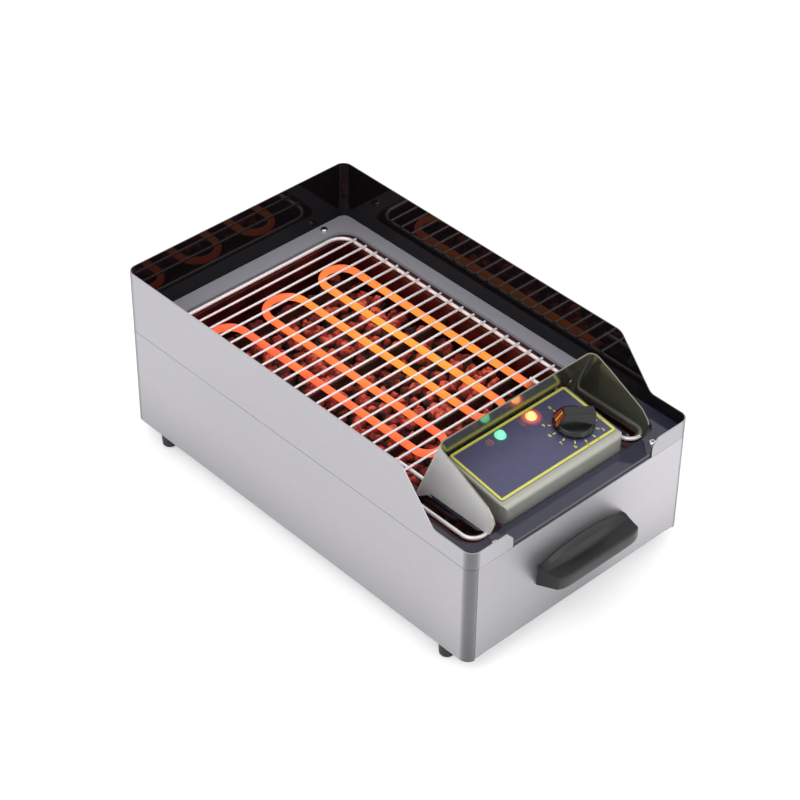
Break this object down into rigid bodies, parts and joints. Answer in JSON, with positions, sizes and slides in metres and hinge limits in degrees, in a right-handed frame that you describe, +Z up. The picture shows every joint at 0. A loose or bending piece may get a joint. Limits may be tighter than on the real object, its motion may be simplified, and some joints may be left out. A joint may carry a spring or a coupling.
{
  "type": "electric lava-rock table grill",
  "caption": "Electric table grill: steel case with glowing tube element over lava rock, lift-up wire grid, splash guard, raised control head and front drip drawer.",
  "frame": {"origin": "centre of the bounding box's bottom face, on the surface the feet stand on", "axes": "+X to the user's right, +Y away from the user towards the back, +Z up; the control head and the drawer face -Y"},
  "size_m": [0.32, 0.584, 0.225],
  "materials": {
    "body_shell": "brushed stainless, outside",
    "top_flange": "plain stainless",
    "base_flange": "plain stainless",
    "floor_pan": "plain stainless",
    "foot_front_left": "satin black",
    "foot_front_right": "satin black",
    "foot_rear_left": "satin black",
    "foot_rear_right": "satin black",
    "foot_screws": "plain steel",
    "top_plate": "gloss black enamel",
    "splash_guard": "brushed outside, gloss black enamel inside",
    "guard_screws": "bright",
    "guard_nuts": "plain steel",
    "fire_tub": "heat-proof black enamel",
    "rock_grate": "dark heat-scaled steel",
    "lava_rocks": "porous, glowing dull red",
    "element_supports": "dark heat-scaled steel",
    "heating_element": "glowing sheath",
    "element_glands": "plain",
    "element_pins": "bright",
    "control_shelf": "gloss black enamel",
    "heat_shield": "mirror-polished stainless",
    "shield_rivets": "plain steel",
    "control_box": "satin stainless",
    "control_panel": "printed film with a pale yellow border",
    "thermostat": "ceramic-coloured body",
    "thermostat_bush": "plain",
    "safety_cutout": "plain",
    "terminal_strip": "plain",
    "lamp_green": "clear tinted",
    "lamp_orange": "clear tinted, lit",
    "lamp_holders": "plain",
    "thermostat_spindle": "bright",
    "control_knob": "satin black",
    "knob_pointer": "satin orange-red",
    "grid_frame": "bright",
    "grid_bars": "bright",
    "runner_left": "plain stainless",
    "runner_right": "plain stainless",
    "drawer_front": "brushed stainless",
    "drip_tray": "plain stainless",
    "drawer_handle": "satin black",
    "handle_screws": "plain steel",
    "cable_gland": "satin black"
  },
  "bodies": {
    "case": {"body_shell": "body_shell", "top_flange": "top_flange", "base_flange": "base_flange", "floor_pan": "floor_pan", "foot_front_left": "foot_front_left", "foot_front_right": "foot_front_right", "foot_rear_left": "foot_rear_left", "foot_rear_right": "foot_rear_right", "foot_screws": "foot_screws", "top_plate": "top_plate", "splash_guard": "splash_guard", "guard_screws": "guard_screws", "guard_nuts": "guard_nuts", "fire_tub": "fire_tub", "rock_grate": "rock_grate", "lava_rocks": "lava_rocks", "element_supports": "element_supports", "heating_element": "heating_element", "element_glands": "element_glands", "element_pins": "element_pins", "control_shelf": "control_shelf", "heat_shield": "heat_shield", "shield_rivets": "shield_rivets", "control_box": "control_box", "control_panel": "control_panel", "thermostat": "thermostat", "thermostat_bush": "thermostat_bush", "safety_cutout": "safety_cutout", "terminal_strip": "terminal_strip", "lamp_green": "lamp_green", "lamp_orange": "lamp_orange", "lamp_holders": "lamp_holders", "runner_left": "runner_left", "runner_right": "runner_right", "cable_gland": "cable_gland"},
    "knob": {"thermostat_spindle": "thermostat_spindle", "control_knob": "control_knob", "knob_pointer": "knob_pointer"},
    "drawer": {"drawer_front": "drawer_front", "drip_tray": "drip_tray", "drawer_handle": "drawer_handle", "handle_screws": "handle_screws"},
    "grid": {"grid_frame": "grid_frame", "grid_bars": "grid_bars"}
  },
  "joints": [
    {"name": "knob_turn", "type": "hinge", "parent": "case", "child": "knob", "pos_m": [0.052, -0.195, 0.1783], "axis": [0, -0.1513, 0.9885], "range_deg": [0, 307]},
    {"name": "drawer_slide", "type": "slide", "parent": "case", "child": "drawer", "axis": [0, -1, 0], "range_m": [0, 0.4]},
    {"name": "grid_lift", "type": "hinge", "parent": "case", "child": "grid", "pos_m": [0, -0.233, 0.1504], "axis": [1, 0, 0], "range_deg": [0, 15]}
  ]
}
